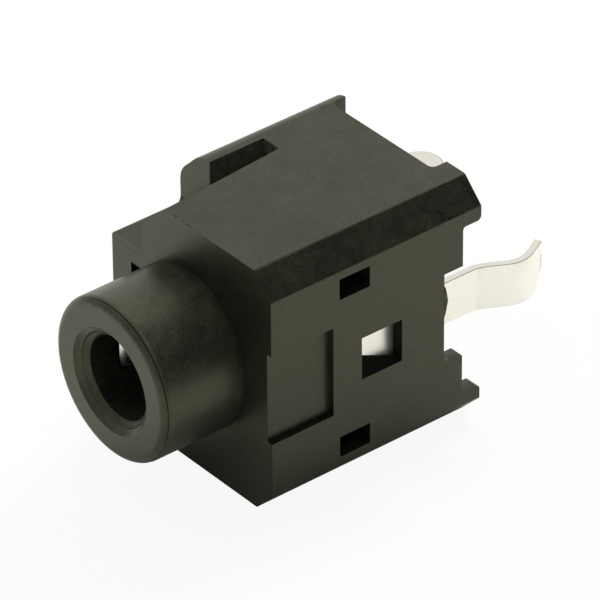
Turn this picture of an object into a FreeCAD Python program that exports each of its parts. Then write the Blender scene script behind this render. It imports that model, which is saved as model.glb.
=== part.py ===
import FreeCAD, Part
import Sketcher

import math
import os

# Stereo jack socket for a 3.5 mm plug, upright board mounting.
# X runs across the body, Y runs along the plug from the nose to the board, Z runs up.
# The origin is on the bore axis, in the body's front face. The socket lies on its lower side.

# how near two numbers count as the same
TOUCH = 1e-4

SIZES = {
    # how far a cut's outline runs on past the surface it opens
    "overrun": 1.0,
    # body
    "body_width": 9.93,
    "body_offset": 0.105,
    "body_height": 11.18,
    "body_length": 10.62,
    "right_chamfer": 1.01,
    "left_chamfer": 1.27,
    "right_edge_radius": 0.16,
    "left_edge_radius": 1.05,
    # rear, cut back from the feet's ends
    "top_cut": 0.76,
    "side_cut": 0.93,
    "pin_notch_cut": 1.88,
    "pin_notch_half_height": 2.13,
    "right_foot_width": 2.1,
    "left_foot_width": 1.62,
    "foot_height": 1.65,
    "foot_corner_radius": 0.26,
    "notch_corner_radius": 0.45,
    "side_corner_radius": 0.15,
    "foot_tip_radius": 0.2,
    "rear_wall": 0.68,
    "rear_wall_step": 0.45,
    # nose and bore
    "nose_length": 4.0,
    "nose_radius": 3.52,
    "nose_edge_radius": 0.4,
    "bore_radius": 1.8,
    "mouth_radius": 2.31,
    "mouth_depth": 0.46,
    # cut-away corner and spring slot
    "shelf_drop": 2.67,
    "corner_depth": 3.46,
    "riser_distance": 2.97,
    "shelf_edge_radius": 0.25,
    "slot_front": 1.51,
    "slot_rear": 6.17,
    "top_edge_front": 1.46,
    "top_edge_rear": 1.98,
    # hole in the front face
    "front_hole_width": 0.64,
    "front_hole_height": 0.85,
    "front_hole_distance": 3.03,
    "front_hole_drop": 0.9,
    # right side: recess and windows
    "recess_rear": 3.09,
    "recess_half_height": 2.06,
    "recess_depth": 0.27,
    "latch_window_front": 3.41,
    "latch_window_length": 1.53,
    "latch_window_height": 0.95,
    "latch_window_distance": 3.24,
    "latch_window_depth": 1.1,
    "contact_window_front": 4.53,
    "contact_window_length": 2.04,
    "contact_window_top": 0.96,
    "contact_window_bottom": 0.99,
    # inner chamber
    "chamber_front": 4.1,
    "side_wall": 1.46,
    "roof_wall": 2.56,
    "contact_clearance": 0.03,
    # all contacts
    "strip_thickness": 0.3,
    "bend_radius": 0.4,
    "plate_bottom": 0.99,
    "pin_bottom": 0.7,
    "pin_top": 1.28,
    "pin_length": 3.48,
    "pin_kink_length": 2.02,
    "pin_straight_length": 0.27,
    "pin_kink_height": 0.91,
    "pin_tip_height": 0.19,
    "pin_corner": 0.58,
    # ring contact
    "ring_plate_depth": 0.55,
    "ring_web_front": 3.4,
    "ring_arm_root": 2.75,
    "ring_contact_distance": 1.55,
    "ring_contact_place": 4.95,
    "ring_arm_flare": 0.4,
    "ring_arm_end": 5.75,
    "ring_arm_bottom": 0.35,
    "ring_taper_front": 5.01,
    "ring_taper_rear": 6.47,
    # sleeve contact
    "sleeve_plate_depth": 0.54,
    "sleeve_bend_rear": 5.77,
    "sleeve_bend_front": 4.78,
    "sleeve_arm_distance": 2.42,
    "sleeve_arm_top": 0.12,
    "sleeve_arm_bottom": 1.05,
    "sleeve_contact_place": 1.57,
    "sleeve_contact_rise": 0.34,
    "sleeve_bump_length": 0.76,
    "sleeve_arm_end": 1.98,
    # tip contact
    "tip_centre": 1.42,
    "tip_width": 1.86,
    "tip_plate_rise": 0.33,
    "tip_pin_drop": 1.03,
    "tip_pin_length": 3.31,
    "tip_joggle_length": 1.05,
    "tip_web_front": 4.9,
    "tip_web_height": 1.16,
    "tip_contact_height": 1.05,
    "tip_contact_place": 7.5,
    "tip_arm_end": 8.1,
    "tip_arm_flare": 0.29,
}


class Size:
    """A length: its value now, and the sheet expression that keeps it right after a change."""

    def __init__(self, value, text):
        self.value = value
        self.text = text

    def __add__(self, other):
        other = as_size(other)
        return Size(self.value + other.value, f"({self.text} + {other.text})")

    def __sub__(self, other):
        other = as_size(other)
        return Size(self.value - other.value, f"({self.text} - {other.text})")

    def __rsub__(self, other):
        return as_size(other) - self

    def __mul__(self, other):
        other = as_size(other)
        return Size(self.value * other.value, f"({self.text} * {other.text})")

    def __truediv__(self, other):
        other = as_size(other)
        return Size(self.value / other.value, f"({self.text} / {other.text})")

    def __neg__(self):
        return Size(-self.value, f"(-{self.text})")

    __radd__ = __add__
    __rmul__ = __mul__


def as_size(number):
    return number if isinstance(number, Size) else Size(number, repr(number))


class Sizes:
    """The sheet's sizes as attributes, such as sizes.bore_radius, and places worked out of them."""

    def __init__(self, values):
        for name, value in values.items():
            setattr(self, name, Size(value, "sizes." + name))
        # faces of the body, as distances from the bore axis
        self.body_right = self.body_width / 2 + self.body_offset
        self.body_left = self.body_width / 2 - self.body_offset
        self.body_top = self.body_height / 2
        # shelf, and the hole in the front face below it
        self.shelf_height = self.body_top - self.shelf_drop
        self.front_hole_top = self.shelf_height - self.front_hole_drop
        self.front_hole_bottom = self.front_hole_top - self.front_hole_height
        # upper left edge, which leans towards the rear beside the cut-away corner and the slot
        lean = (self.top_edge_rear - self.top_edge_front) / self.slot_rear
        self.top_edge_corner = self.top_edge_front + lean * self.corner_depth
        self.top_edge_slot = self.top_edge_front + lean * self.slot_front
        # rear faces and the feet's inner faces
        self.top_rear = self.body_length - self.top_cut
        self.side_rear = self.body_length - self.side_cut
        self.pin_notch_rear = self.body_length - self.pin_notch_cut
        self.foot_right_inner = self.body_right - self.right_foot_width
        self.foot_left_inner = self.body_left - self.left_foot_width
        self.foot_height_inner = self.body_top - self.foot_height
        self.rear_wall_right = self.body_right - self.rear_wall
        self.rear_wall_left = self.body_left - self.rear_wall
        # chamber and contacts
        self.chamber_half_width = self.body_right - self.side_wall
        self.chamber_half_height = self.body_top - self.roof_wall
        self.ring_plate_distance = self.body_right - self.ring_plate_depth
        self.sleeve_plate_distance = self.body_left - self.sleeve_plate_depth
        self.tip_plate_top = self.chamber_half_height + self.tip_plate_rise
        self.tip_pin_top = self.tip_plate_top - self.tip_pin_drop
        self.tip_arm_root = self.tip_plate_top - self.tip_web_height
        self.pin_end = self.body_length + self.pin_length
        self.tip_pin_end = self.body_length + self.tip_pin_length


def fill_sheet(document):
    sheet = document.addObject("Spreadsheet::Sheet", "sizes")
    for row, (name, value) in enumerate(SIZES.items(), start=1):
        sheet.set(f"A{row}", name)
        sheet.set(f"B{row}", str(value))
        sheet.setAlias(f"B{row}", name)
    document.recompute()


def bind(item, prop, size):
    """Set a property from the sheet and keep it tied to it."""
    item.setExpression(prop, as_size(size).text)


# Sketches

PLANE_TURNS = {
    "XY_Plane": FreeCAD.Rotation(),
    "YZ_Plane": FreeCAD.Rotation(FreeCAD.Vector(1, 1, 1), 120),
}


def body_sketch(body, name, plane):
    """A sketch on one of the body's own origin planes."""
    sketch = body.newObject("Sketcher::SketchObject", name)
    support = next(item for item in body.Origin.OriginFeatures if item.Role == plane)
    sketch.AttachmentSupport = [(support, "")]
    sketch.MapMode = "FlatFace"
    return sketch


def free_sketch(document, name, plane):
    """A sketch of its own, laid in a main plane."""
    sketch = document.addObject("Sketcher::SketchObject", name)
    sketch.Placement = FreeCAD.Placement(FreeCAD.Vector(), PLANE_TURNS[plane])
    return sketch


def flat(point):
    return FreeCAD.Vector(as_size(point[0]).value, as_size(point[1]).value, 0)


def fix_point(sketch, item, end, point):
    """Dimension one end of a sketch item from the sketch's origin."""
    for kind, size in zip(("DistanceX", "DistanceY"), map(as_size, point)):
        index = sketch.addConstraint(Sketcher.Constraint(kind, -1, 1, item, end, size.value))
        sketch.setExpression(f"Constraints[{index}]", size.text)


def closed_outline(sketch, points):
    """A closed outline of straight lines through the points."""
    first = sketch.GeometryCount
    count = len(points)
    for i in range(count):
        line = Part.LineSegment(flat(points[i]), flat(points[(i + 1) % count]))
        sketch.addGeometry(line, False)
    for i in range(count):
        after = first + (i + 1) % count
        sketch.addConstraint(Sketcher.Constraint("Coincident", first + i, 2, after, 1))
        fix_point(sketch, first + i, 1, points[i])


def rectangle(sketch, low, high):
    closed_outline(sketch, [low, (high[0], low[1]), high, (low[0], high[1])])


def bend_arc(before, corner, after, radius):
    """The arc that rounds a corner, and which of its ends the path comes in by."""
    inward = (before - corner).normalize()
    onward = (after - corner).normalize()
    half = inward.getAngle(onward) / 2
    centre = corner + (inward + onward).normalize() * (radius / math.sin(half))
    starts = [corner + way * (radius / math.tan(half)) - centre for way in (inward, onward)]
    angles = [math.atan2(start.y, start.x) for start in starts]
    turns_left = inward.cross(onward).z < 0
    if not turns_left:
        angles.reverse()
    circle = Part.Circle(centre, FreeCAD.Vector(0, 0, 1), radius)
    arc = Part.ArcOfCircle(circle, angles[0], angles[1])
    return arc, (1, 2) if turns_left else (2, 1)


def bent_path(sketch, points, radius):
    """An open path through the points, with every inner corner rounded by a tangent bend."""
    corners = [flat(point) for point in points]
    lines = []
    for start, end in zip(corners, corners[1:]):
        lines.append(sketch.addGeometry(Part.LineSegment(start, end), False))
    for i in range(1, len(corners) - 1):
        arc, (way_in, way_out) = bend_arc(corners[i - 1], corners[i], corners[i + 1], radius.value)
        bend = sketch.addGeometry(arc, False)
        corner = sketch.addGeometry(Part.Point(corners[i]), True)
        before, after = lines[i - 1], lines[i]
        fix_point(sketch, corner, 1, points[i])
        sketch.addConstraint(Sketcher.Constraint("PointOnObject", corner, 1, before))
        sketch.addConstraint(Sketcher.Constraint("PointOnObject", corner, 1, after))
        sketch.addConstraint(Sketcher.Constraint("Tangent", before, 2, bend, way_in))
        sketch.addConstraint(Sketcher.Constraint("Tangent", bend, way_out, after, 1))
        size = sketch.addConstraint(Sketcher.Constraint("Radius", bend, radius.value))
        sketch.setExpression(f"Constraints[{size}]", radius.text)
    fix_point(sketch, lines[0], 1, points[0])
    fix_point(sketch, lines[-1], 2, points[-1])


# Body features

def cut_from_front(body, name, outline, depth, start=0):
    """A pocket whose outline lies across the plug's axis, cut towards the board."""
    sketch = body_sketch(body, name + "_outline", "XZ_Plane")
    outline(sketch)
    bind(sketch, "AttachmentOffset.Base.z", -as_size(start))
    return pocket(body, name, sketch, depth)


def pocket(body, name, sketch, depth):
    feature = body.newObject("PartDesign::Pocket", name)
    feature.Profile = sketch
    bind(feature, "Length", depth)
    return feature


def side_window(body, name, sizes, low, high, depth):
    """A rectangular opening cut into the right side face; low and high are along Y and Z."""
    sketch = body_sketch(body, name + "_outline", "YZ_Plane")
    rectangle(sketch, low, high)
    bind(sketch, "AttachmentOffset.Base.z", sizes.body_right)
    return pocket(body, name, sketch, depth)


def body_block(body, sizes):
    """The body: a square bar with its four long edges cut off."""
    right, left = sizes.body_right, -sizes.body_left
    top, bottom = sizes.body_top, -sizes.body_top
    cut_right, cut_left = sizes.right_chamfer, sizes.left_chamfer
    sketch = body_sketch(body, "body_section", "XZ_Plane")
    closed_outline(sketch, [
        (left + cut_left, bottom), (right - cut_right, bottom),
        (right, bottom + cut_right), (right, top - cut_right),
        (right - cut_right, top), (left + cut_left, top),
        (left, top - cut_left), (left, bottom + cut_left),
    ])
    block = body.newObject("PartDesign::Pad", "body_block")
    block.Profile = sketch
    block.Reversed = True
    bind(block, "Length", sizes.body_length)


def nose(body, sizes):
    """The round nose in front of the body."""
    sketch = body_sketch(body, "nose_section", "YZ_Plane")
    rectangle(sketch, (-sizes.nose_length, 0), (sizes.overrun, sizes.nose_radius))
    feature = body.newObject("PartDesign::Revolution", "nose")
    feature.Profile = sketch
    feature.ReferenceAxis = (sketch, ["H_Axis"])
    feature.Angle = 360


def plug_bore(body, sizes):
    """The plug's bore with its coned mouth, up to the chamber."""
    front = -sizes.nose_length
    mouth_end = sizes.mouth_depth - sizes.nose_length
    end = sizes.chamber_front + sizes.contact_clearance
    sketch = body_sketch(body, "bore_section", "YZ_Plane")
    closed_outline(sketch, [
        (front, 0), (end, 0), (end, sizes.bore_radius),
        (mouth_end, sizes.bore_radius), (front, sizes.mouth_radius),
    ])
    feature = body.newObject("PartDesign::Groove", "plug_bore")
    feature.Profile = sketch
    feature.ReferenceAxis = (sketch, ["H_Axis"])
    feature.Angle = 360


def cut_away_corner(body, sizes):
    """The stepped corner at the front left: a shelf, a riser and a slope up to the top face."""
    riser = -sizes.riser_distance
    outside = -(sizes.body_left + sizes.overrun)
    above = sizes.body_top + sizes.overrun

    def section(name, top_edge, place):
        """The corner's outline across the plug's axis; the slope rises at half a right angle."""
        sketch = body_sketch(body, name, "XZ_Plane")
        closed_outline(sketch, [
            (outside, sizes.shelf_height), (riser, sizes.shelf_height),
            (riser, sizes.body_top - (sizes.riser_distance - top_edge)),
            (-top_edge, sizes.body_top), (-top_edge, above), (outside, above),
        ])
        bind(sketch, "AttachmentOffset.Base.z", -as_size(place))
        return sketch

    feature = body.newObject("PartDesign::SubtractiveLoft", "cut_away_corner")
    feature.Profile = section("corner_front", sizes.top_edge_front, 0)
    feature.Sections = [section("corner_rear", sizes.top_edge_corner, sizes.corner_depth)]
    feature.Ruled = True


def spring_slot(body, sizes):
    """The open slot in the top, beside the cut-away corner, down to the chamber."""
    sketch = body_sketch(body, "spring_slot_outline", "XY_Plane")
    closed_outline(sketch, [
        (-sizes.riser_distance, sizes.slot_front), (-sizes.top_edge_slot, sizes.slot_front),
        (-sizes.top_edge_rear, sizes.slot_rear), (-sizes.riser_distance, sizes.slot_rear),
    ])
    bind(sketch, "AttachmentOffset.Base.z", sizes.body_top)
    pocket(body, "spring_slot", sketch, sizes.shelf_drop)


def front_openings(body, sizes):
    """The small hole beside the nose, and the way of the sleeve contact's arm into the nose."""
    gap = sizes.contact_clearance
    deep = sizes.chamber_front + gap

    def hole(sketch):
        inner, bottom = -sizes.front_hole_distance, sizes.front_hole_bottom
        rectangle(sketch, (inner - sizes.front_hole_width, bottom), (inner, sizes.front_hole_top))

    def arm_way(sketch):
        rectangle(sketch, (-sizes.sleeve_arm_distance - gap, -sizes.sleeve_arm_bottom - gap),
                  (-sizes.bore_radius / 2, sizes.sleeve_arm_top + gap))

    cut_from_front(body, "front_hole", hole, deep)
    arm_start = sizes.sleeve_arm_end + sizes.strip_thickness
    cut_from_front(body, "sleeve_arm_way", arm_way, deep + arm_start, -arm_start)


def chamber(body, sizes):
    """The inner space for the three contacts, open towards the board."""
    gap = sizes.contact_clearance
    long = sizes.body_length
    half_tip = sizes.tip_width / 2 + gap

    def space(sketch):
        wide, high = sizes.chamber_half_width, sizes.chamber_half_height
        rectangle(sketch, (-wide, -high), (wide, high))

    def ring_groove(sketch):
        rectangle(sketch, (0, -sizes.plate_bottom - gap),
                  (sizes.ring_plate_distance + gap, sizes.pin_top + gap))

    def sleeve_groove(sketch):
        rectangle(sketch, (-sizes.sleeve_plate_distance - gap, -sizes.sleeve_arm_bottom - gap),
                  (0, sizes.pin_top + gap))

    def tip_groove(sketch):
        rectangle(sketch, (-sizes.tip_centre - half_tip, 0),
                  (half_tip - sizes.tip_centre, sizes.tip_plate_top + gap))

    cut_from_front(body, "chamber", space, long, sizes.chamber_front)
    cut_from_front(body, "ring_groove", ring_groove, long, sizes.ring_web_front - gap)
    cut_from_front(body, "sleeve_groove", sleeve_groove, long, sizes.sleeve_bend_front)
    cut_from_front(body, "tip_groove", tip_groove, long, sizes.tip_web_front - gap)


def rear_cuts(body, sizes):
    """The rear is cut back between four corner feet, and further back where two pins leave."""
    far = sizes.body_top + sizes.overrun
    long = sizes.body_length

    def across(right, left, half_height):
        return lambda sketch: rectangle(sketch, (-left, -half_height), (right, half_height))

    def cut(name, place, half_height):
        """A cut right across the body, and a taller one between the two thin side walls."""
        tall = half_height + sizes.rear_wall_step
        between_walls = across(sizes.rear_wall_right, sizes.rear_wall_left, tall)
        cut_from_front(body, name, across(far, far, half_height), long, place)
        cut_from_front(body, name + "_between_walls", between_walls, long, place)

    between_side_feet = across(sizes.foot_right_inner, sizes.foot_left_inner, far)
    cut_from_front(body, "rear_cut_top", between_side_feet, long, sizes.top_rear)
    cut("rear_cut_side", sizes.side_rear, sizes.foot_height_inner)
    cut("pin_notches", sizes.pin_notch_rear, sizes.pin_notch_half_height)


def right_side(body, sizes):
    """The shallow recess, two latch windows and the contact window in the right side."""
    side_window(body, "recess", sizes, (-sizes.overrun, -sizes.recess_half_height),
                (sizes.recess_rear, sizes.recess_half_height), sizes.recess_depth)
    front = sizes.latch_window_front
    rear = front + sizes.latch_window_length
    inner = sizes.latch_window_distance
    outer = inner + sizes.latch_window_height
    depth = sizes.latch_window_depth
    side_window(body, "upper_window", sizes, (front, inner), (rear, outer), depth)
    side_window(body, "lower_window", sizes, (front, -outer), (rear, -inner), depth)
    front = sizes.contact_window_front
    rear = front + sizes.contact_window_length
    side_window(body, "contact_window", sizes, (front, -sizes.contact_window_bottom),
                (rear, sizes.contact_window_top), sizes.side_wall)


def edges_where(shape, wanted):
    return [f"Edge{i}" for i, edge in enumerate(shape.Edges, start=1) if wanted(edge)]


def round_edges(document, body, name, radius, wanted):
    """Round the edges of the body as it stands now that the test picks."""
    document.recompute()
    base = body.Tip
    feature = body.newObject("PartDesign::Fillet", name)
    feature.Base = (base, edges_where(base.Shape, wanted))
    bind(feature, "Radius", radius)
    return feature


def make_housing(document, sizes):
    body = document.addObject("PartDesign::Body", "housing")
    body.Label = "housing"
    body_block(body, sizes)
    nose(body, sizes)
    front = -sizes.nose_length.value
    rim = sizes.nose_radius.value

    def on_nose_rim(edge):
        points = [edge.valueAt(edge.FirstParameter), edge.valueAt(edge.LastParameter)]
        return all(abs(p.y - front) < TOUCH and abs(math.hypot(p.x, p.z) - rim) < TOUCH
                   for p in points)

    round_edges(document, body, "nose_rim", sizes.nose_edge_radius, on_nose_rim)

    def along_the_body(edge):
        box = edge.BoundBox
        return box.YMin > -TOUCH and box.YLength > sizes.body_length.value - TOUCH

    round_edges(document, body, "right_long_edges", sizes.right_edge_radius,
                lambda edge: along_the_body(edge) and edge.BoundBox.XMin > 0)
    round_edges(document, body, "left_long_edges", sizes.left_edge_radius,
                lambda edge: along_the_body(edge) and edge.BoundBox.XMax < 0)
    plug_bore(body, sizes)
    cut_away_corner(body, sizes)
    shelf = sizes.shelf_height.value

    def outside_or_behind(edge):
        box = edge.BoundBox
        on_shelf = abs(box.ZMin - shelf) < TOUCH and abs(box.ZMax - shelf) < TOUCH
        outside = box.XMax < -sizes.body_left.value + TOUCH
        return on_shelf and (outside or box.YMin > sizes.corner_depth.value - TOUCH)

    round_edges(document, body, "shelf_edges", sizes.shelf_edge_radius, outside_or_behind)
    spring_slot(body, sizes)
    front_openings(body, sizes)
    right_side(body, sizes)
    chamber(body, sizes)
    rear_cuts(body, sizes)
    def in_corner(axis, along, across):
        """Whether an edge lies at one place along Y and at one place along X or Z."""
        def test(edge):
            box = edge.BoundBox
            ends = [box.YMin - along.value, box.YMax - along.value]
            ends += [getattr(box, axis + end) - across.value for end in ("Min", "Max")]
            return max(map(abs, ends)) < TOUCH
        return test

    def round_corners(name, radius, *corners):
        round_edges(document, body, name, radius,
                    lambda edge: any(corner(edge) for corner in corners))

    feet, notch = sizes.foot_height_inner, sizes.pin_notch_half_height
    round_corners("foot_corners", sizes.foot_corner_radius,
                  in_corner("X", sizes.top_rear, sizes.foot_right_inner),
                  in_corner("X", sizes.top_rear, -sizes.foot_left_inner))
    round_corners("notch_corners", sizes.notch_corner_radius,
                  in_corner("Z", sizes.pin_notch_rear, -notch))
    round_corners("side_corners", sizes.side_corner_radius,
                  in_corner("Z", sizes.side_rear, feet), in_corner("Z", sizes.side_rear, -feet))
    round_corners("foot_tips", sizes.foot_tip_radius,
                  in_corner("Z", sizes.body_length, feet),
                  in_corner("Z", sizes.body_length, -feet))
    return body


# Contacts

def strip(document, name, plane, points, sizes, low, high, side):
    """A strip of sheet bent along a path and as wide as low to high; side picks its inner side."""
    path = free_sketch(document, name + "_path", plane)
    bent_path(path, points, sizes.bend_radius)
    bind(path, "Placement.Base.z" if plane == "XY_Plane" else "Placement.Base.x", low)
    section = document.addObject("Part::Offset2D", name + "_section")
    section.Source = path
    section.Fill = True
    section.Mode = "Skin"
    bind(section, "Value", sizes.strip_thickness * side)
    solid = document.addObject("Part::Extrusion", name + "_strip")
    solid.Base = section
    solid.DirMode = "Custom"
    solid.Dir = FreeCAD.Vector(0, 0, 1) if plane == "XY_Plane" else FreeCAD.Vector(1, 0, 0)
    solid.Solid = False
    bind(solid, "LengthFwd", high - low)
    return solid


def blank(document, name, plane, draw, start, thickness):
    """The flat outline that a bent strip was cut to, thick enough to pass through it."""
    outline = free_sketch(document, name + "_blank", plane)
    draw(outline)
    bind(outline, "Placement.Base.z" if plane == "XY_Plane" else "Placement.Base.x", start)
    solid = document.addObject("Part::Extrusion", name + "_blank_solid")
    solid.Base = outline
    solid.DirMode = "Custom"
    solid.Dir = FreeCAD.Vector(0, 0, 1) if plane == "XY_Plane" else FreeCAD.Vector(1, 0, 0)
    solid.Solid = True
    bind(solid, "LengthFwd", thickness)
    return solid


def common(document, name, first, second):
    both = document.addObject("Part::Common", name)
    both.Base = first
    both.Tool = second
    both.Label = name
    return both


def snap_in_pin(sizes, distance, side):
    """The path of a side pin from its tip to its plate: out, back and straight in."""
    out = distance + sizes.pin_kink_height
    tip = distance + sizes.pin_tip_height
    board = sizes.body_length
    return [(tip * side, sizes.pin_end), (out * side, board + sizes.pin_kink_length),
            (distance * side, board + sizes.pin_straight_length)]


def pin_outline(sizes):
    """The pin's end in side view, from its top corner round to where the plate starts."""
    end, top, bottom = sizes.pin_end, sizes.pin_top, -sizes.pin_bottom
    return [(sizes.ring_web_front / 2, top), (end + sizes.strip_thickness, top),
            (end + sizes.strip_thickness, bottom + sizes.pin_corner * 2),
            (end - sizes.pin_corner, bottom), (sizes.pin_notch_rear, bottom)]


def make_ring_contact(document, sizes):
    """The ring contact: pin, plate behind the window and a folded spring arm."""
    plate = sizes.ring_plate_distance
    web = sizes.ring_web_front
    points = snap_in_pin(sizes, plate, 1) + [
        (plate, web), (sizes.ring_arm_root, web),
        (sizes.ring_contact_distance, sizes.ring_contact_place),
        (sizes.ring_contact_distance + sizes.ring_arm_flare, sizes.ring_arm_end),
    ]
    bent = strip(document, "ring", "XY_Plane", points, sizes, -sizes.plate_bottom, sizes.pin_top, 1)

    def draw(sketch):
        closed_outline(sketch, pin_outline(sizes) + [
            (sizes.pin_notch_rear, -sizes.plate_bottom),
            (sizes.ring_taper_rear, -sizes.plate_bottom),
            (sizes.ring_taper_front, -sizes.ring_arm_bottom),
            (sizes.ring_web_front / 2, -sizes.ring_arm_bottom),
        ])

    cut = blank(document, "ring", "YZ_Plane", draw, as_size(0), sizes.body_right * 2)
    return common(document, "ring_contact", bent, cut)


def make_sleeve_contact(document, sizes):
    """The sleeve contact: pin, plate and a long arm that ends in a bump inside the nose."""
    plate = -sizes.sleeve_plate_distance
    arm = -sizes.sleeve_arm_distance
    bump = -sizes.sleeve_contact_place
    points = snap_in_pin(sizes, sizes.sleeve_plate_distance, -1) + [
        (plate, sizes.sleeve_bend_rear), (arm, sizes.sleeve_bend_front),
        (arm, bump + sizes.sleeve_bump_length),
        (arm + sizes.sleeve_contact_rise, bump),
        (arm + sizes.sleeve_contact_rise / 4, -sizes.sleeve_arm_end),
    ]
    bent = strip(document, "sleeve", "XY_Plane", points, sizes,
                 -sizes.sleeve_arm_bottom, sizes.pin_top, -1)

    def draw(sketch):
        far = -sizes.sleeve_arm_end * 2
        closed_outline(sketch, [
            (far, sizes.sleeve_arm_top), (sizes.sleeve_bend_front, sizes.sleeve_arm_top),
            (sizes.sleeve_bend_rear, sizes.pin_top)] + pin_outline(sizes)[1:] + [
            (sizes.pin_notch_rear, -sizes.sleeve_arm_bottom), (far, -sizes.sleeve_arm_bottom),
        ])

    cut = blank(document, "sleeve", "YZ_Plane", draw, -sizes.body_left * 2, sizes.body_left * 2)
    return common(document, "sleeve_contact", bent, cut)


def make_tip_contact(document, sizes):
    """The tip contact: round-ended pin, plate under the roof and a folded spring arm."""
    points = [
        (sizes.tip_pin_end, sizes.tip_pin_top), (sizes.body_length, sizes.tip_pin_top),
        (sizes.body_length - sizes.tip_joggle_length, sizes.tip_plate_top),
        (sizes.tip_web_front, sizes.tip_plate_top),
        (sizes.tip_web_front, sizes.tip_arm_root),
        (sizes.tip_contact_place, sizes.tip_contact_height),
        (sizes.tip_arm_end, sizes.tip_contact_height + sizes.tip_arm_flare),
    ]
    right = sizes.tip_width / 2 - sizes.tip_centre
    left = right - sizes.tip_width
    bent = strip(document, "tip", "YZ_Plane", points, sizes, left, right, -1)

    def draw(sketch):
        near = sizes.tip_web_front / 2
        round_start = sizes.tip_pin_end - sizes.tip_width / 2
        corners = [(left, round_start), (left, near), (right, near), (right, round_start)]
        for start, end in zip(corners, corners[1:]):
            sketch.addGeometry(Part.LineSegment(flat(start), flat(end)), False)
        centre = FreeCAD.Vector(-sizes.tip_centre.value, round_start.value, 0)
        circle = Part.Circle(centre, FreeCAD.Vector(0, 0, 1), sizes.tip_width.value / 2)
        end = sketch.addGeometry(Part.ArcOfCircle(circle, 0, math.pi), False)
        for i in range(2):
            sketch.addConstraint(Sketcher.Constraint("Coincident", i, 2, i + 1, 1))
        sketch.addConstraint(Sketcher.Constraint("Tangent", 2, 2, end, 1))
        sketch.addConstraint(Sketcher.Constraint("Coincident", end, 2, 0, 1))
        for i, corner in enumerate(corners[:3]):
            fix_point(sketch, i, 1, corner)
        fix_point(sketch, 2, 2, corners[3])

    cut = blank(document, "tip", "XY_Plane", draw, as_size(0), sizes.body_top)
    return common(document, "tip_contact", bent, cut)


def check(document, parts):
    for item in document.Objects:
        if "Invalid" in item.State or "Error" in item.State:
            raise RuntimeError(f"{item.Name} failed: {item.State}")
    for part in parts:
        shape = part.Shape
        if shape.isNull() or not shape.isValid() or len(shape.Solids) != 1:
            raise RuntimeError(f"{part.Label} is not one valid solid")


def main():
    document = FreeCAD.newDocument("jack_socket")
    fill_sheet(document)
    sizes = Sizes(SIZES)
    parts = [
        make_housing(document, sizes),
        make_sleeve_contact(document, sizes),
        make_ring_contact(document, sizes),
        make_tip_contact(document, sizes),
    ]
    document.recompute()
    check(document, parts)
    os.makedirs("parts", exist_ok=True)
    for part in parts:
        part.Shape.exportStep(f"parts/{part.Label}.step")
        print(part.Label, "volume", round(part.Shape.Volume, 3), "mm3")


main()
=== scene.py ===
# %% [markdown]
# # A stereo jack socket, dressed for its picture
# The socket is a small black moulding with a round nose, a stepped corner and a few windows.
# Three bright spring contacts sit inside it, and their pins stick out of the rear.
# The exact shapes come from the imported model. This lesson gives them soft edges, plastic
# and metal finishes, and light. Lengths are written in millimetres and multiplied by MM,
# because Blender works in metres.

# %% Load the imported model
import math

import bmesh
import bpy
from mathutils import Matrix, Vector, noise
from mathutils.bvhtree import BVHTree


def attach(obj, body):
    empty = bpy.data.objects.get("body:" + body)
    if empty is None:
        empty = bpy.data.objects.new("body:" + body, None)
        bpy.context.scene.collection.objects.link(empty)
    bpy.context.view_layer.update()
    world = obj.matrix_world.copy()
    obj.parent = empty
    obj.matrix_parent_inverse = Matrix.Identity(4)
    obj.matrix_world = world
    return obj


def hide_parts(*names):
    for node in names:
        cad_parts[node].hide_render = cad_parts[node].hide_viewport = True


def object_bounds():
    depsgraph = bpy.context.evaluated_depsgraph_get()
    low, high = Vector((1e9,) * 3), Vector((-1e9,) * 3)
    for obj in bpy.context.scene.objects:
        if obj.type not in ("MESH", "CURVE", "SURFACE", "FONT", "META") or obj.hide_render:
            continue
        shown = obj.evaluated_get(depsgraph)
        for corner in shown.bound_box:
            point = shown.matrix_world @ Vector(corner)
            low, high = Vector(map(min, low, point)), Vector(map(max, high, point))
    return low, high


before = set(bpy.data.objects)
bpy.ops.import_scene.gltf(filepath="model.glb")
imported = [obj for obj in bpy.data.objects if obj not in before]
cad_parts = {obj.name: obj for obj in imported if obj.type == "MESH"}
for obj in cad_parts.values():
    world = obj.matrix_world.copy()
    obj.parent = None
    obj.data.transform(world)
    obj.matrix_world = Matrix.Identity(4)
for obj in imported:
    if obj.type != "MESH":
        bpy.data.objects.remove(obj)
cad_bounds = [list(corner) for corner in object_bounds()]
MM = 0.001
print("nodes:", sorted(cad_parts))

# %% [markdown]
# ## Sums with shader sockets
# A finish is mostly arithmetic: a noise, scaled, added to a base roughness, and so on.
# In the editor each step is a Math node, and a long sum becomes a web that is hard to read.
# Here one small class wraps a socket, so that the arithmetic is written as a sum and the nodes
# appear by themselves.

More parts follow.
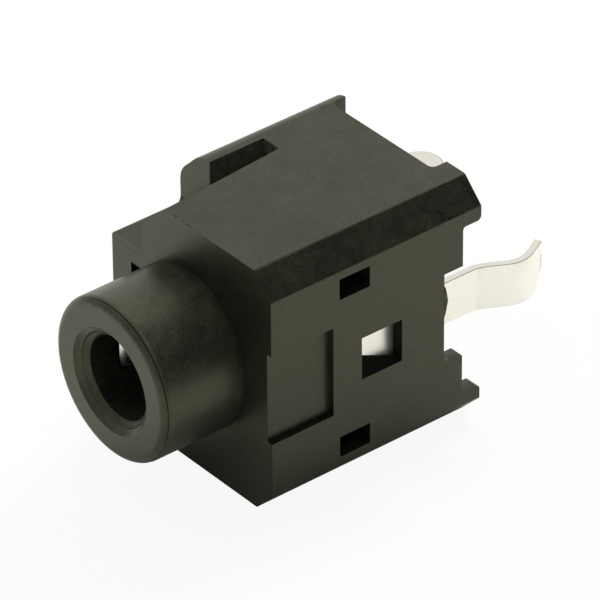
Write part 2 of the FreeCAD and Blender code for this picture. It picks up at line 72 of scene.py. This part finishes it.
# %% One class for shader maths
class Wire:
    """An output of a shader node that takes part in sums."""

    def __init__(self, tree, socket):
        self.tree = tree
        self.socket = socket

    def node(self, kind, settings=None, values=None, output=0):
        """Any other node: its settings are made first, then the values or wires of its sockets."""
        made = self.tree.nodes.new(kind)
        for name, value in (settings or {}).items():
            setattr(made, name, value)
        for name, value in (values or {}).items():
            if isinstance(value, Wire):
                self.tree.links.new(value.socket, made.inputs[name])
            else:
                made.inputs[name].default_value = value
        return Wire(self.tree, made.outputs[output])

    def sum(self, operation, *values):
        return self.node("ShaderNodeMath", {"operation": operation}, dict(enumerate(values)))

    def math(self, operation, *others):
        """This wire and perhaps others through one kind of sum, such as SQRT or MINIMUM."""
        return self.sum(operation, self, *others)

    def __add__(self, other):
        return self.sum("ADD", self, other)

    def __sub__(self, other):
        return self.sum("SUBTRACT", self, other)

    def __rsub__(self, other):
        return self.sum("SUBTRACT", other, self)

    def __mul__(self, other):
        return self.sum("MULTIPLY", self, other)

    def __gt__(self, other):
        return self.sum("GREATER_THAN", self, other)

    __radd__ = __add__
    __rmul__ = __mul__

    def between(self, low, high):
        """Nought below the low value, one above the high one, and a soft step between them."""
        return self.node("ShaderNodeMapRange", {"interpolation_type": "SMOOTHSTEP"},
                         {"Value": self, "From Min": low, "From Max": high})

    def mix(self, first, second):
        """A blend of two colours. The wire is the share of the second, and may go past one."""
        return self.node("ShaderNodeMix", {"data_type": "RGBA", "clamp_factor": False},
                         {0: self, 6: first, 7: second}, 2)

    def axis(self, name):
        """One part of a vector: its X, Y or Z."""
        return self.node("ShaderNodeSeparateXYZ", None, {"Vector": self}, name)

    def vector(self, operation, other, output=0):
        """This vector and another one through a Vector Math node."""
        return self.node("ShaderNodeVectorMath", {"operation": operation},
                         {0: self, 1: other}, output)


def new_material(name):
    """An empty material, its shader and a wire that carries the piece's own coordinates."""
    material = bpy.data.materials.new(name)
    material.use_nodes = True
    tree = material.node_tree
    place = tree.nodes.new("ShaderNodeTexCoord")
    return material, tree.nodes["Principled BSDF"], Wire(tree, place.outputs["Object"])


def feed(shader, **wires):
    """Link wires to the shader's sockets: feed(shader, Base_Color=wire)."""
    for name, wire in wires.items():
        wire.tree.links.new(wire.socket, shader.inputs[name.replace("_", " ")])


def blend_in(shader, share, other):
    """Show another shader over a material's own one, as much as the share says."""
    tree = share.tree
    both = share.node("ShaderNodeMixShader", None, {
        0: share, 1: Wire(tree, shader.outputs["BSDF"]), 2: other})
    tree.links.new(both.socket, tree.nodes["Material Output"].inputs["Surface"])


print("shader maths ready")

# %% [markdown]
# ## Camera
# The picture was taken from the right of the nose and above it, with a long lens, so parallel
# edges stay almost parallel. A camera can be turned by hand until it looks right. Here the
# angles and the distance were fitted to the photograph's edges, which is exact to a pixel or two.

# %% Camera at the photograph's angle
AZIMUTH, ELEVATION, ROLL = (math.radians(angle) for angle in (50.902, 34.147, -0.472))
DISTANCE = 249.75 * MM
SIDESTEP, RISE = 4.302 * MM, 1.7434 * MM
LENS, SENSOR = 383.03, 36.0
NEAREST = 10 * MM

back = Vector((math.sin(AZIMUTH) * math.cos(ELEVATION),
               -math.cos(AZIMUTH) * math.cos(ELEVATION), math.sin(ELEVATION)))
level = Vector((math.cos(AZIMUTH), math.sin(AZIMUTH), 0))
upward = back.cross(level)
right = math.cos(ROLL) * level + math.sin(ROLL) * upward
top = math.cos(ROLL) * upward - math.sin(ROLL) * level

camera = bpy.data.objects.new("camera", bpy.data.cameras.new("camera"))
camera.data.lens = LENS
camera.data.sensor_width = SENSOR
camera.data.clip_start = NEAREST
turn = Matrix((right, top, back)).transposed().to_4x4()
camera.matrix_world = Matrix.Translation(SIDESTEP * right + RISE * top + DISTANCE * back) @ turn
bpy.context.scene.collection.objects.link(camera)
bpy.context.scene.camera = camera
print("camera at", [round(v / MM, 1) for v in camera.matrix_world.translation], "mm")

# %% [markdown]
# ## Soft edges
# A steel mould never leaves a perfectly sharp edge, and a stamped strip has a rolled-over edge.
# Each edge is rounded by about a twentieth of a millimetre, and that thin round catches the light.
# A bmesh bevel would need each edge picked. The Bevel modifier finds them by their angle. The
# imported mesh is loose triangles, so a copy of it is joined and its flat faces are made whole
# first. The rounds get the piece's second material, because wear and cutting show on an edge.

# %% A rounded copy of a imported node
MERGED = 0.0005 * MM
FLAT, SHARP = math.radians(0.4), math.radians(28)
EDGE_FINISH = 1


def make_piece(shape, name):
    """A smooth object out of a finished bmesh."""
    for face in shape.faces:
        face.smooth = True
    mesh = bpy.data.meshes.new(name)
    shape.to_mesh(mesh)
    shape.free()
    piece = bpy.data.objects.new(name, mesh)
    bpy.context.scene.collection.objects.link(piece)
    return piece


def soften(node, radius, shape_more=None):
    """A copy of a node whose sharp edges have a small round. It stands for the node."""
    shape = bmesh.new()
    shape.from_mesh(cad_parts[node].data)
    bmesh.ops.remove_doubles(shape, verts=shape.verts, dist=MERGED)
    bmesh.ops.dissolve_limit(shape, angle_limit=FLAT, verts=shape.verts, edges=shape.edges)
    if shape_more:
        shape_more(shape)
    piece = make_piece(shape, node + "_soft")
    bevel = piece.modifiers.new("round", "BEVEL")
    bevel.width = radius
    bevel.segments = 2
    bevel.limit_method = "ANGLE"
    bevel.angle_limit = SHARP
    bevel.use_clamp_overlap = True
    bevel.material = EDGE_FINISH
    flatten = piece.modifiers.new("flatten", "WEIGHTED_NORMAL")
    flatten.weight = 100
    flatten.keep_sharp = True
    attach(piece, "root")
    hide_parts(node)
    print(node, "softened,", len(piece.data.vertices), "vertices before rounding")
    return piece


def slice_across(shape, faces, place):
    """Cut some faces of a shape across, at one place along the plug's way in mm."""
    around = {e for f in faces for e in f.edges} | {v for f in faces for v in f.verts}
    bmesh.ops.bisect_plane(shape, geom=faces + list(around), dist=1e-8,
                           plane_co=(0, place * MM, 0), plane_no=(0, 1, 0))


print("rounding helpers ready")

# %% [markdown]
# ## Rolled pins
# The kink that snaps a pin into the board is rolled in one easy curve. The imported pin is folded
# from straight runs with tight bends, and a bigger bevel would eat into the strip. So the strip
# is cut across every quarter of a millimetre, and each cut moves to the average of the folded
# line around it, with half the strip's thickness on either side.

# %% Ease the bends
FOLDED = [(9.0, 4.37), (10.87, 4.37), (12.62, 5.37), (14.1, 4.58), (16.0, 3.57)]
STRIP, SLEEVE_SHIFT = 0.3, 0.2
PIN_START, ROLL_START = 9.5, 10.3
FIRST_CUT, CUT_STEP, CUTS = 10.5, 0.25, 14
EASE_REACH, EASE_STEPS = 0.6, 12
SLOPE_STEP = 0.05


def folded(place):
    """The sideways place of the folded pin at some distance along it, in mm."""
    for (near, low), (far, high) in zip(FOLDED, FOLDED[1:]):
        if place <= far:
            return low + (high - low) * (place - near) / (far - near)
    return FOLDED[-1][1]


def eased(place):
    """The average of the folded line for some way to both sides."""
    steps = [place + EASE_REACH * (2 * i / EASE_STEPS - 1) for i in range(EASE_STEPS + 1)]
    return sum(folded(step) for step in steps) / len(steps)


def roll_pin(shape):
    """Turn a side contact's folded pin into a rolled one."""
    side = 1 if sum(v.co.x for v in shape.verts) > 0 else -1
    shift = 0 if side > 0 else SLEEVE_SHIFT
    for step in range(CUTS):
        pin = [f for f in shape.faces if f.calc_center_median().y > PIN_START * MM]
        slice_across(shape, pin, FIRST_CUT + CUT_STEP * step)
    for vertex in shape.verts:
        place = vertex.co.y / MM
        if place > ROLL_START:
            outside = 1 if side * vertex.co.x / MM + shift > folded(place) else -1
            slope = (eased(place + SLOPE_STEP) - eased(place - SLOPE_STEP)) / (2 * SLOPE_STEP)
            thick = outside * STRIP / 2 * math.sqrt(1 + slope * slope)
            vertex.co.x = side * (eased(place) + thick - shift) * MM
    print("pin rolled,", len(shape.verts), "points")


# %% [markdown]
# ## The sleeve contact's bump
# With no plug in, this bump stands a little into the bore and catches the light there. In the
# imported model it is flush, so that a plug passes. It could be a piece of its own, but then it
# would show a seam. Moving the end of the arm sideways, with a soft start, keeps it one strip.

# %% Press the bump in and soften the contacts
BUMP_START, BUMP_EASE, BUMP_PRESS = -0.9, 0.5, 0.3
CONTACT_EDGE = 0.05 * MM


def press_bump(shape):
    """The sleeve contact: its pin rolled, and the end of its arm further into the bore."""
    roll_pin(shape)
    for vertex in shape.verts:
        share = min(max((BUMP_START - vertex.co.y / MM) / BUMP_EASE, 0), 1)
        vertex.co.x += BUMP_PRESS * MM * share * share * (3 - 2 * share)


contacts = [soften("ring_contact", CONTACT_EDGE, roll_pin),
            soften("tip_contact", CONTACT_EDGE),
            soften("sleeve_contact", CONTACT_EDGE, press_bump)]

# %% [markdown]
# ## The stepped mouth
# The funnel of the mouth isn't smooth. The steel pin that shaped it was turned in two faint
# steps, and they show as arcs. A bump map would vanish in the outline of the mouth, so real
# rings are cut into the funnel with bisect_plane and then scaled in or out.

# %% Rings in the mouth
MOUTH_STEPS = [(-3.84, 2.165), (-3.80, 2.07), (-3.68, 1.98), (-3.63, 1.88)]
MOUTH_END, MOUTH_INNER, MOUTH_OUTER = -3.4, 1.79, 2.35


def in_funnel(point):
    """Whether a point lies between the bore and the rim, seen along the bore."""
    return MOUTH_INNER < from_axis(point) < MOUTH_OUTER


def from_axis(point):
    """The distance from the bore's axis in mm."""
    return math.hypot(point.x, point.z) / MM


def step_mouth(shape):
    """Cut rings into the funnel and give each its own radius."""
    for place, _ in MOUTH_STEPS:
        funnel = [f for f in shape.faces if f.calc_center_median().y < MOUTH_END * MM
                  and in_funnel(f.calc_center_median())]
        slice_across(shape, funnel, place)
    for place, wide in MOUTH_STEPS:
        ring = [v for v in shape.verts if abs(v.co.y - place * MM) < 1e-7 and in_funnel(v.co)]
        for vertex in ring:
            turn_out = wide / from_axis(vertex.co)
            vertex.co.x *= turn_out
            vertex.co.z *= turn_out
        print("ring at", place, "mm:", len(ring), "points")


# %% [markdown]
# ## The shelf's front edge
# The low shelf in the corner ends in front with a rounder edge than the others. The modifier
# gives all edges the same width, so this one edge gets its own bmesh bevel before.

# %% A rounder shelf
SHELF_HEIGHT, SHELF_ROUND = 2.92, 0.25
FRONT_NEAR, SHELF_NEAR = 0.01, 0.02


def round_shelf(shape):
    """Round the shelf's front edge, which lies in the front face at the shelf's height."""
    edges = [e for e in shape.edges
             if all(abs(v.co.y) < FRONT_NEAR * MM
                    and abs(v.co.z - SHELF_HEIGHT * MM) < SHELF_NEAR * MM for v in e.verts)]
    bmesh.ops.bevel(shape, geom=edges, offset=SHELF_ROUND * MM, segments=4, profile=0.5,
                    affect="EDGES", clamp_overlap=True, material=-1)
    print("shelf edge:", len(edges), "edges rounded")


# %% [markdown]
# ## Where the cores were
# The windows, the slot and the inside of the body were shaped by cores. Their surface is duller
# than the outside. A face belongs to them when it looks straight at another wall of the moulding,
# so a ray along its normal finds them all, and no list of faces is needed. The rear feet look at
# each other too, but they are outside and stay satin. The slot's walls get a pale base colour,
# which is painted light for the light that falls into the open slot.

# %% Mark the cored faces and soften the housing
CORED_FINISH, SLOT_PAINTED_LIGHT_FINISH = 2, 3
RAY_START, RAY_LENGTH = 0.01 * MM, 11 * MM
FEET_START, SLOT_TOP = 8.5 * MM, 5 * MM
HOUSING_EDGE = 0.055 * MM


def mark_cored(shape):
    """Give the cored finishes to the faces that look at another wall of the moulding."""
    walls = BVHTree.FromBMesh(shape)
    count = 0
    for face in shape.faces:
        centre = face.calc_center_median()
        faced = walls.ray_cast(centre + face.normal * RAY_START, face.normal, RAY_LENGTH)[0]
        if faced and centre.y < FEET_START:
            in_slot = centre.x < 0 and max(v.co.z for v in face.verts) > SLOT_TOP
            # the slot's walls get a pale colour that is painted light for the light falling into
            # the slot
            face.material_index = SLOT_PAINTED_LIGHT_FINISH if in_slot else CORED_FINISH
            count += 1
    print("cored faces:", count, "of", len(shape.faces))


def dress_housing(shape):
    """All that is done to the housing's shape before its edges are rounded."""
    step_mouth(shape)
    round_shelf(shape)
    shape.normal_update()
    mark_cored(shape)


housing = soften("housing", HOUSING_EDGE, dress_housing)

# %% [markdown]
# ## The gate mark
# Where the plastic was injected, a small rough lump stays after the runner is broken off. It sits
# on the rear edge of the right wall, beside the ring contact's pin. It could be pulled out of the
# wall's own mesh, but a squashed sphere, pushed about with a little noise, is simpler: it sinks
# into the wall and leaves only its crown outside.

# %% Gate mark
GATE_HALF = Vector((0.3, 0.24, 0.85)) * MM
GATE_PLACE = Vector((4.79, 8.80, 0.70)) * MM
LUMPS, LUMP_DEPTH, LUMP_START = 2.3, 0.16, Vector((4.1, 0.7, 2.2))

gate_shape = bmesh.new()
bmesh.ops.create_icosphere(gate_shape, subdivisions=4, radius=1.0)
for vertex in gate_shape.verts:
    vertex.co = vertex.co * (1 + LUMP_DEPTH * noise.noise(vertex.co * LUMPS + LUMP_START))
bmesh.ops.scale(gate_shape, vec=GATE_HALF, verts=gate_shape.verts)
bmesh.ops.translate(gate_shape, vec=GATE_PLACE, verts=gate_shape.verts)
gate_mark = make_piece(gate_shape, "gate_mark")
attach(gate_mark, "root")
print("gate mark:", len(gate_mark.data.vertices), "points")

# %% [markdown]
# ## Patterns for plastic and metal
# Close up, the socket shows clouds, grain and a few grains of dust. Painted images could carry
# them, but a noise pattern has no end and no seams, and it takes its size from the piece itself.
# A Voronoi pattern drops one speck into some of its cells.

# %% Noise and specks
def field(place, scale, detail=2.0):
    """A noise pattern: one over the scale is the size of its clouds in metres."""
    return place.node("ShaderNodeTexNoise", None,
                      {"Vector": place, "Scale": scale, "Detail": detail})


def specks(place, scale, size, share):
    """A mask of small round specks: one in so many cells of a Voronoi pattern gets one."""
    cells = {"Vector": place, "Scale": scale, "Randomness": 1.0}
    nearest = place.node("ShaderNodeTexVoronoi", {"feature": "F1"}, cells)
    colour = place.node("ShaderNodeTexVoronoi", {"feature": "F1"}, cells, "Color")
    lot = place.node("ShaderNodeSeparateColor", None, {"Color": colour})
    return (1 - nearest.between(0.4 * size, size)) * (lot > 1 - share)


print("noise and specks ready")

# %% [markdown]
# ## Scratches, the parting line and painted shade lines
# The shelf has a few short scratches, and a hairline runs round the nose where two parts of the
# mould met. A thin line under the shelf's round and a few dashes along the top's front edge are
# painted shade and painted dark reflections. All are far thinner than the edges' rounds, so
# cutting them into the mesh would only disturb it. Each is a mask in the finish, painted dark: a
# scratch or shade line is the space near a short line, and the hairline is the space near a
# circle. The hairline's dark is painted shade of its groove.

# %% Masks of fine marks
# each scratch or painted shade line: its start, its end, its width, all in mm, and its strength
SCRATCH_AND_SHADE_LINES = [((-4.31, 1.08, 2.92), (-3.92, 0.77, 2.92), 0.03, 0.8),
             ((-3.10, 1.15, 2.92), (-3.06, 1.25, 2.92), 0.035, 0.7),
             ((-4.46, 2.35, 2.92), (-4.42, 2.4, 2.92), 0.035, 0.7),
             ((-4.32, 2.5, 2.92), (-4.28, 2.55, 2.92), 0.035, 0.7),
             ((-4.6, 0, 2.6), (-3.05, 0, 2.6), 0.022, 0.45),
             ((-0.93, 0.03, 5.585), (-0.72, 0.03, 5.585), 0.045, 0.6),
             ((-0.45, 0.03, 5.585), (-0.3, 0.03, 5.585), 0.04, 0.6),
             ((-0.12, 0.02, 5.585), (0.14, 0.02, 5.585), 0.045, 0.6)]
PARTING_PLACE, PARTING_RADIUS, PARTING_STRENGTH = -3.81, 3.3, 0.8


def scratch(place, start, end, width):
    """A mask of one short line between two points of the piece."""
    start, line = Vector(start) * MM, (Vector(end) - Vector(start)) * MM
    offset = place.vector("SUBTRACT", start)
    share = offset.vector("DOT_PRODUCT", line / line.length_squared, "Value")
    share = share.math("MAXIMUM", 0.0).math("MINIMUM", 1.0)
    nearest = place.node("ShaderNodeVectorMath", {"operation": "SCALE"},
                         {0: line, "Scale": share})
    gap = offset.vector("DISTANCE", nearest, "Value")
    return 1 - gap.between(0.3 * width * MM, width * MM)


def parting_line_shade(place):
    """A mask of the hairline round the nose's rim, clearest at the upper right; its dark is
    painted shade of the groove.
    """
    across, along, height = (place.axis(name) for name in "XYZ")
    radius = (across * across + height * height).math("SQRT")
    gap = (along - PARTING_PLACE * MM).math("ABSOLUTE")
    hairline = (1 - gap.between(0.012 * MM, 0.034 * MM)) * (radius > PARTING_RADIUS * MM)
    return hairline * (across + height).between(-1.0 * MM, 4.5 * MM) * PARTING_STRENGTH


print("fine marks ready,", len(SCRATCH_AND_SHADE_LINES), "scratches")

# %% [markdown]
# ## The dusty film
# Over the black lies a thin grey film: cloudy where the melt flowed and hands have rubbed it,
# grainy close up, with pale flecks and a few grains of dust. It is thickest on faces that look
# up and on the nose. Three noises of different size, added up, look less
# like a pattern than any one of them does.

# %% How pale each spot is
CLOUDS, MOTTLES, GRAINS = 420.0, 1900.0, 14000.0
THICKEST_FILM = 2.5


def dusty_film(place, cloud, mottle, grain, film, chips):
    """How pale the film makes a spot: bare black is 0, grey is 1, and dust goes beyond."""
    blotchy = (cloud * 0.3 + mottle * 0.35 + grain * 0.6 - 0.625) * 2.6 + 0.5
    facing = place.node("ShaderNodeNewGeometry", output="Normal")
    upward = facing.axis("Z").between(-0.1, 1.1)
    on_nose = 1 - place.axis("Y").between(-0.4 * MM, -0.05 * MM)
    share = (0.25 + upward * 0.5 + on_nose * 0.5) * film
    flecks = field(place, 5200.0, 3.0).between(0.59, 0.68)
    flecks = flecks * field(place, 800.0).between(0.45, 0.6)
    dust = specks(place, 1300.0, 0.06, 0.12) + specks(place, 3200.0, 0.10, 0.10)
    rubbed = field(place, 6000.0, 3.0).between(0.50, 0.60) * chips
    pale = blotchy.math("MAXIMUM", 0.0) * share + flecks * 0.35 + dust + rubbed
    return pale.math("MINIMUM", THICKEST_FILM)


print("film ready")

# %% [markdown]
# ## Black moulded plastic
# The plastic is a deep black with a fine satin skin, and most of its grey is the studio seen in
# that skin. A grey base colour would look flat, so the base stays nearly black and the mirror
# index and the roughness do the work. One function makes four finishes. The outside is satin,
# the edges are rubbed paler, the cored inside is dull, and the slot's pale walls are painted
# light.

# %% Plastic finishes
DEEP_BLACK, FILM_GREY = (0.0042, 0.0042, 0.0034, 1.0), (0.05, 0.05, 0.040, 1.0)
# the dark colour of the scratches and of the painted shade lines
SCRATCH_AND_SHADE_BLACK = (0.006, 0.006, 0.005, 1.0)
SKIN_TINT = (1.0, 1.0, 0.67, 1.0)
SKIN_DEPTH = 0.006 * MM


def moulded(name, roughness, index, film, chips=0.0, marked=True):
    """One finish of the black plastic, from its roughness, mirror index, dusty film and chips."""
    material, shader, place = new_material(name)
    cloud, mottle = field(place, CLOUDS, 4.0), field(place, MOTTLES, 3.0)
    grain = field(place, GRAINS)
    pale = dusty_film(place, cloud, mottle, grain, film, chips)
    skin = place.node("ShaderNodeBump", None, {
        "Strength": 0.5, "Distance": SKIN_DEPTH, "Height": grain + mottle * 0.7})
    satin = roughness + (cloud - 0.5) * 0.06 + (mottle - 0.5) * 0.08 + (grain - 0.5) * 0.16
    feed(shader, Base_Color=pale.mix(DEEP_BLACK, FILM_GREY), Roughness=satin, Normal=skin)
    shader.inputs["IOR"].default_value = index
    shader.inputs["Specular Tint"].default_value = SKIN_TINT
    if marked:
        # Painted shade: the hairline's groove, under the shelf's round and dark reflections on the
        # top's front edge, besides real scratches on the shelf
        marks_and_painted_shade = parting_line_shade(place)
        for start, end, width, strength in SCRATCH_AND_SHADE_LINES:
            marks_and_painted_shade = marks_and_painted_shade + scratch(place, start, end, width) * strength
        dark_line_shader = place.node("ShaderNodeBsdfDiffuse", None, {"Color": SCRATCH_AND_SHADE_BLACK})
        blend_in(shader, marks_and_painted_shade, dark_line_shader)
    return material


satin_plastic = moulded("satin_black_plastic", roughness=0.36, index=1.58, film=0.9)
housing_finishes = [
    satin_plastic,
    moulded("rubbed_edge_plastic", roughness=0.42, index=1.50, film=0.9, chips=2.2),
    moulded("cored_dull_plastic", roughness=0.6, index=1.13, film=0.6, marked=False),
    # the slot's walls: a pale base colour, painted light for the light falling into the slot
    moulded("slot_plastic_painted_light", roughness=0.6, index=1.30, film=14.0, marked=False)]
for finish in housing_finishes:
    housing.data.materials.append(finish)
gate_mark.data.materials.append(satin_plastic)
print("plastic on", housing.name, "and", gate_mark.name)

# %% [markdown]
# ## Tin-plated contact metal
# The contacts are stamped from thin bronze strip and plated with tin. The plating is bright and
# slightly warm, with faint rolling streaks along the strip. A noise that a Mapping node draws
# out along the strip makes the streaks, in colour and in gloss. The sheared edges are thinly
# plated, and the bronze shows through as a darker line, so they get the darker finish.

# %% Metal finishes
STREAKS, PATCHES, STREAK_STRETCH = 6000.0, 700.0, (1.0, 0.08, 1.0)


def strip_metal(name, dark, light, roughness):
    """Plated strip whose colour and gloss change a little along the rolling direction."""
    material, shader, place = new_material(name)
    drawn_out = place.node("ShaderNodeMapping", None, {"Vector": place, "Scale": STREAK_STRETCH})
    streaks, patches = field(drawn_out, STREAKS, 3.0), field(place, PATCHES)
    feed(shader, Base_Color=(patches * 0.6 + streaks * 0.4).mix((*dark, 1.0), (*light, 1.0)),
         Roughness=roughness + (streaks - 0.5) * 0.16 + (patches - 0.5) * 0.1)
    shader.inputs["Metallic"].default_value = 1.0
    return material


plated = strip_metal("tin_plated_strip", (0.965, 0.95, 0.90), (0.99, 0.98, 0.94), 0.30)
sheared = strip_metal("sheared_edge", (0.30, 0.25, 0.18), (0.52, 0.46, 0.36), 0.34)
for contact in contacts:
    contact.data.materials.append(plated)
    contact.data.materials.append(sheared)
print("metal on", [contact.name for contact in contacts])

# %% [markdown]
# ## White table
# The socket lies on a matt white table. The photograph's ground is plain white, and more light
# would get there only by spoiling the socket. So the table is lit like any other thing, and the
# camera alone sees it almost wholly as a plain white, with a trace of the socket's shadow left.

# %% Table under the socket
TABLE_RADIUS, PLAIN_SHARE = 0.4, 0.92

shape = bmesh.new()
bmesh.ops.create_circle(shape, cap_ends=True, segments=64, radius=TABLE_RADIUS)
bmesh.ops.translate(shape, vec=(0, 0, cad_bounds[0][2]), verts=shape.verts)
table_mesh = bpy.data.meshes.new("table")
shape.to_mesh(table_mesh)
shape.free()
table = bpy.data.objects.new("table", table_mesh)
bpy.context.scene.collection.objects.link(table)

table_material, table_shader, place = new_material("white_table")
table_shader.inputs["Base Color"].default_value = (0.88, 0.875, 0.855, 1.0)
table_shader.inputs["Roughness"].default_value = 0.9
by_camera = place.node("ShaderNodeLightPath", output="Is Camera Ray")
white = place.node("ShaderNodeEmission", None, {"Color": (1.0, 1.0, 1.0, 1.0), "Strength": 1.0})
blend_in(table_shader, by_camera * PLAIN_SHARE, white)
table_mesh.materials.append(table_material)
print("table at", round(cad_bounds[0][2] / MM, 2), "mm")

# %% [markdown]
# ## Studio
# Satin black shows what it mirrors, so the studio is planned from the socket's faces. A pale
# wall behind the socket is what its top mirrors, and the side where the camera stands is dim.
# Behind the socket on the right is a dark doorway, which the sloped edge mirrors, and one small
# bright lamp gives the nose its sheen. Real panels could stand round the table, but a few soft
# patches of the world's sky do the same. The camera itself sees plain white.

# %% World light
DIM_SIDE, PALE_WALL = 0.38, 0.40
DOORWAY, DOORWAY_DEPTH = (0.70, 0.522, 0.48), 0.97
LAMP, LAMP_STRENGTH = (0.45, 0.035, 0.894), 2.5

world = bpy.data.worlds.new("studio")
bpy.context.scene.world = world
world.use_nodes = True
tree = world.node_tree
tree.nodes.clear()
output = tree.nodes.new("ShaderNodeOutputWorld")
way = Wire(tree, tree.nodes.new("ShaderNodeTexCoord").outputs["Generated"])


def patch(direction, widest, narrowest):
    """How far a direction of the studio lies inside a soft round patch, from 0 to 1."""
    nearness = way.vector("DOT_PRODUCT", Vector(direction).normalized(), "Value")
    return nearness.between(math.cos(math.radians(widest)), math.cos(math.radians(narrowest)))


wall = DIM_SIDE + way.axis("Y").between(-0.4, 0.3) * PALE_WALL
strength = wall * (1 - patch(DOORWAY, 52, 24) * DOORWAY_DEPTH) + patch(LAMP, 9, 4) * LAMP_STRENGTH
by_camera = way.node("ShaderNodeLightPath", output="Is Camera Ray")
glow = way.node("ShaderNodeBackground", None,
                {"Color": (1.0, 0.99, 0.93, 1.0), "Strength": strength})
plain = way.node("ShaderNodeBackground", None, {"Color": (1.0, 1.0, 1.0, 1.0), "Strength": 1.0})
mixed = way.node("ShaderNodeMixShader", None, {0: by_camera, 1: glow, 2: plain})
tree.links.new(mixed.socket, output.inputs["Surface"])
print("studio lit")

# %% [markdown]
# ## Softboxes
# The sky alone leaves the table grey and the shadows faint. A softbox above and behind lights
# the table and leaves the socket's front in its own shadow. A small weak one on the left lights
# the table before the nose, which the nose's face mirrors. Both are hidden from mirror rays,
# because their own reflections would sit on the black as hard white discs.

# %% Two round lamps
def softbox(name, place, size, energy):
    """A round lamp, placed in mm, that looks at the socket and isn't mirrored in it."""
    lamp = bpy.data.objects.new(name, bpy.data.lights.new(name, "AREA"))
    lamp.data.shape = "DISK"
    lamp.data.size = size * MM
    lamp.data.energy = energy
    lamp.data.color = (1.0, 0.99, 0.95)
    lamp.location = Vector(place) * MM
    lamp.rotation_euler = lamp.location.to_track_quat("Z", "Y").to_euler()
    lamp.visible_glossy = False
    bpy.context.scene.collection.objects.link(lamp)
    print(name, "at", place, "mm")


softbox("softbox_behind", place=(-50, 155, 190), size=80, energy=0.42)
softbox("softbox_left", place=(-31, -14, 61), size=30, energy=0.011)

# %% [markdown]
# ## View and the end
# The Standard view shows colours as they are written.

# %% View and finish
bpy.context.scene.view_settings.view_transform = "Standard"
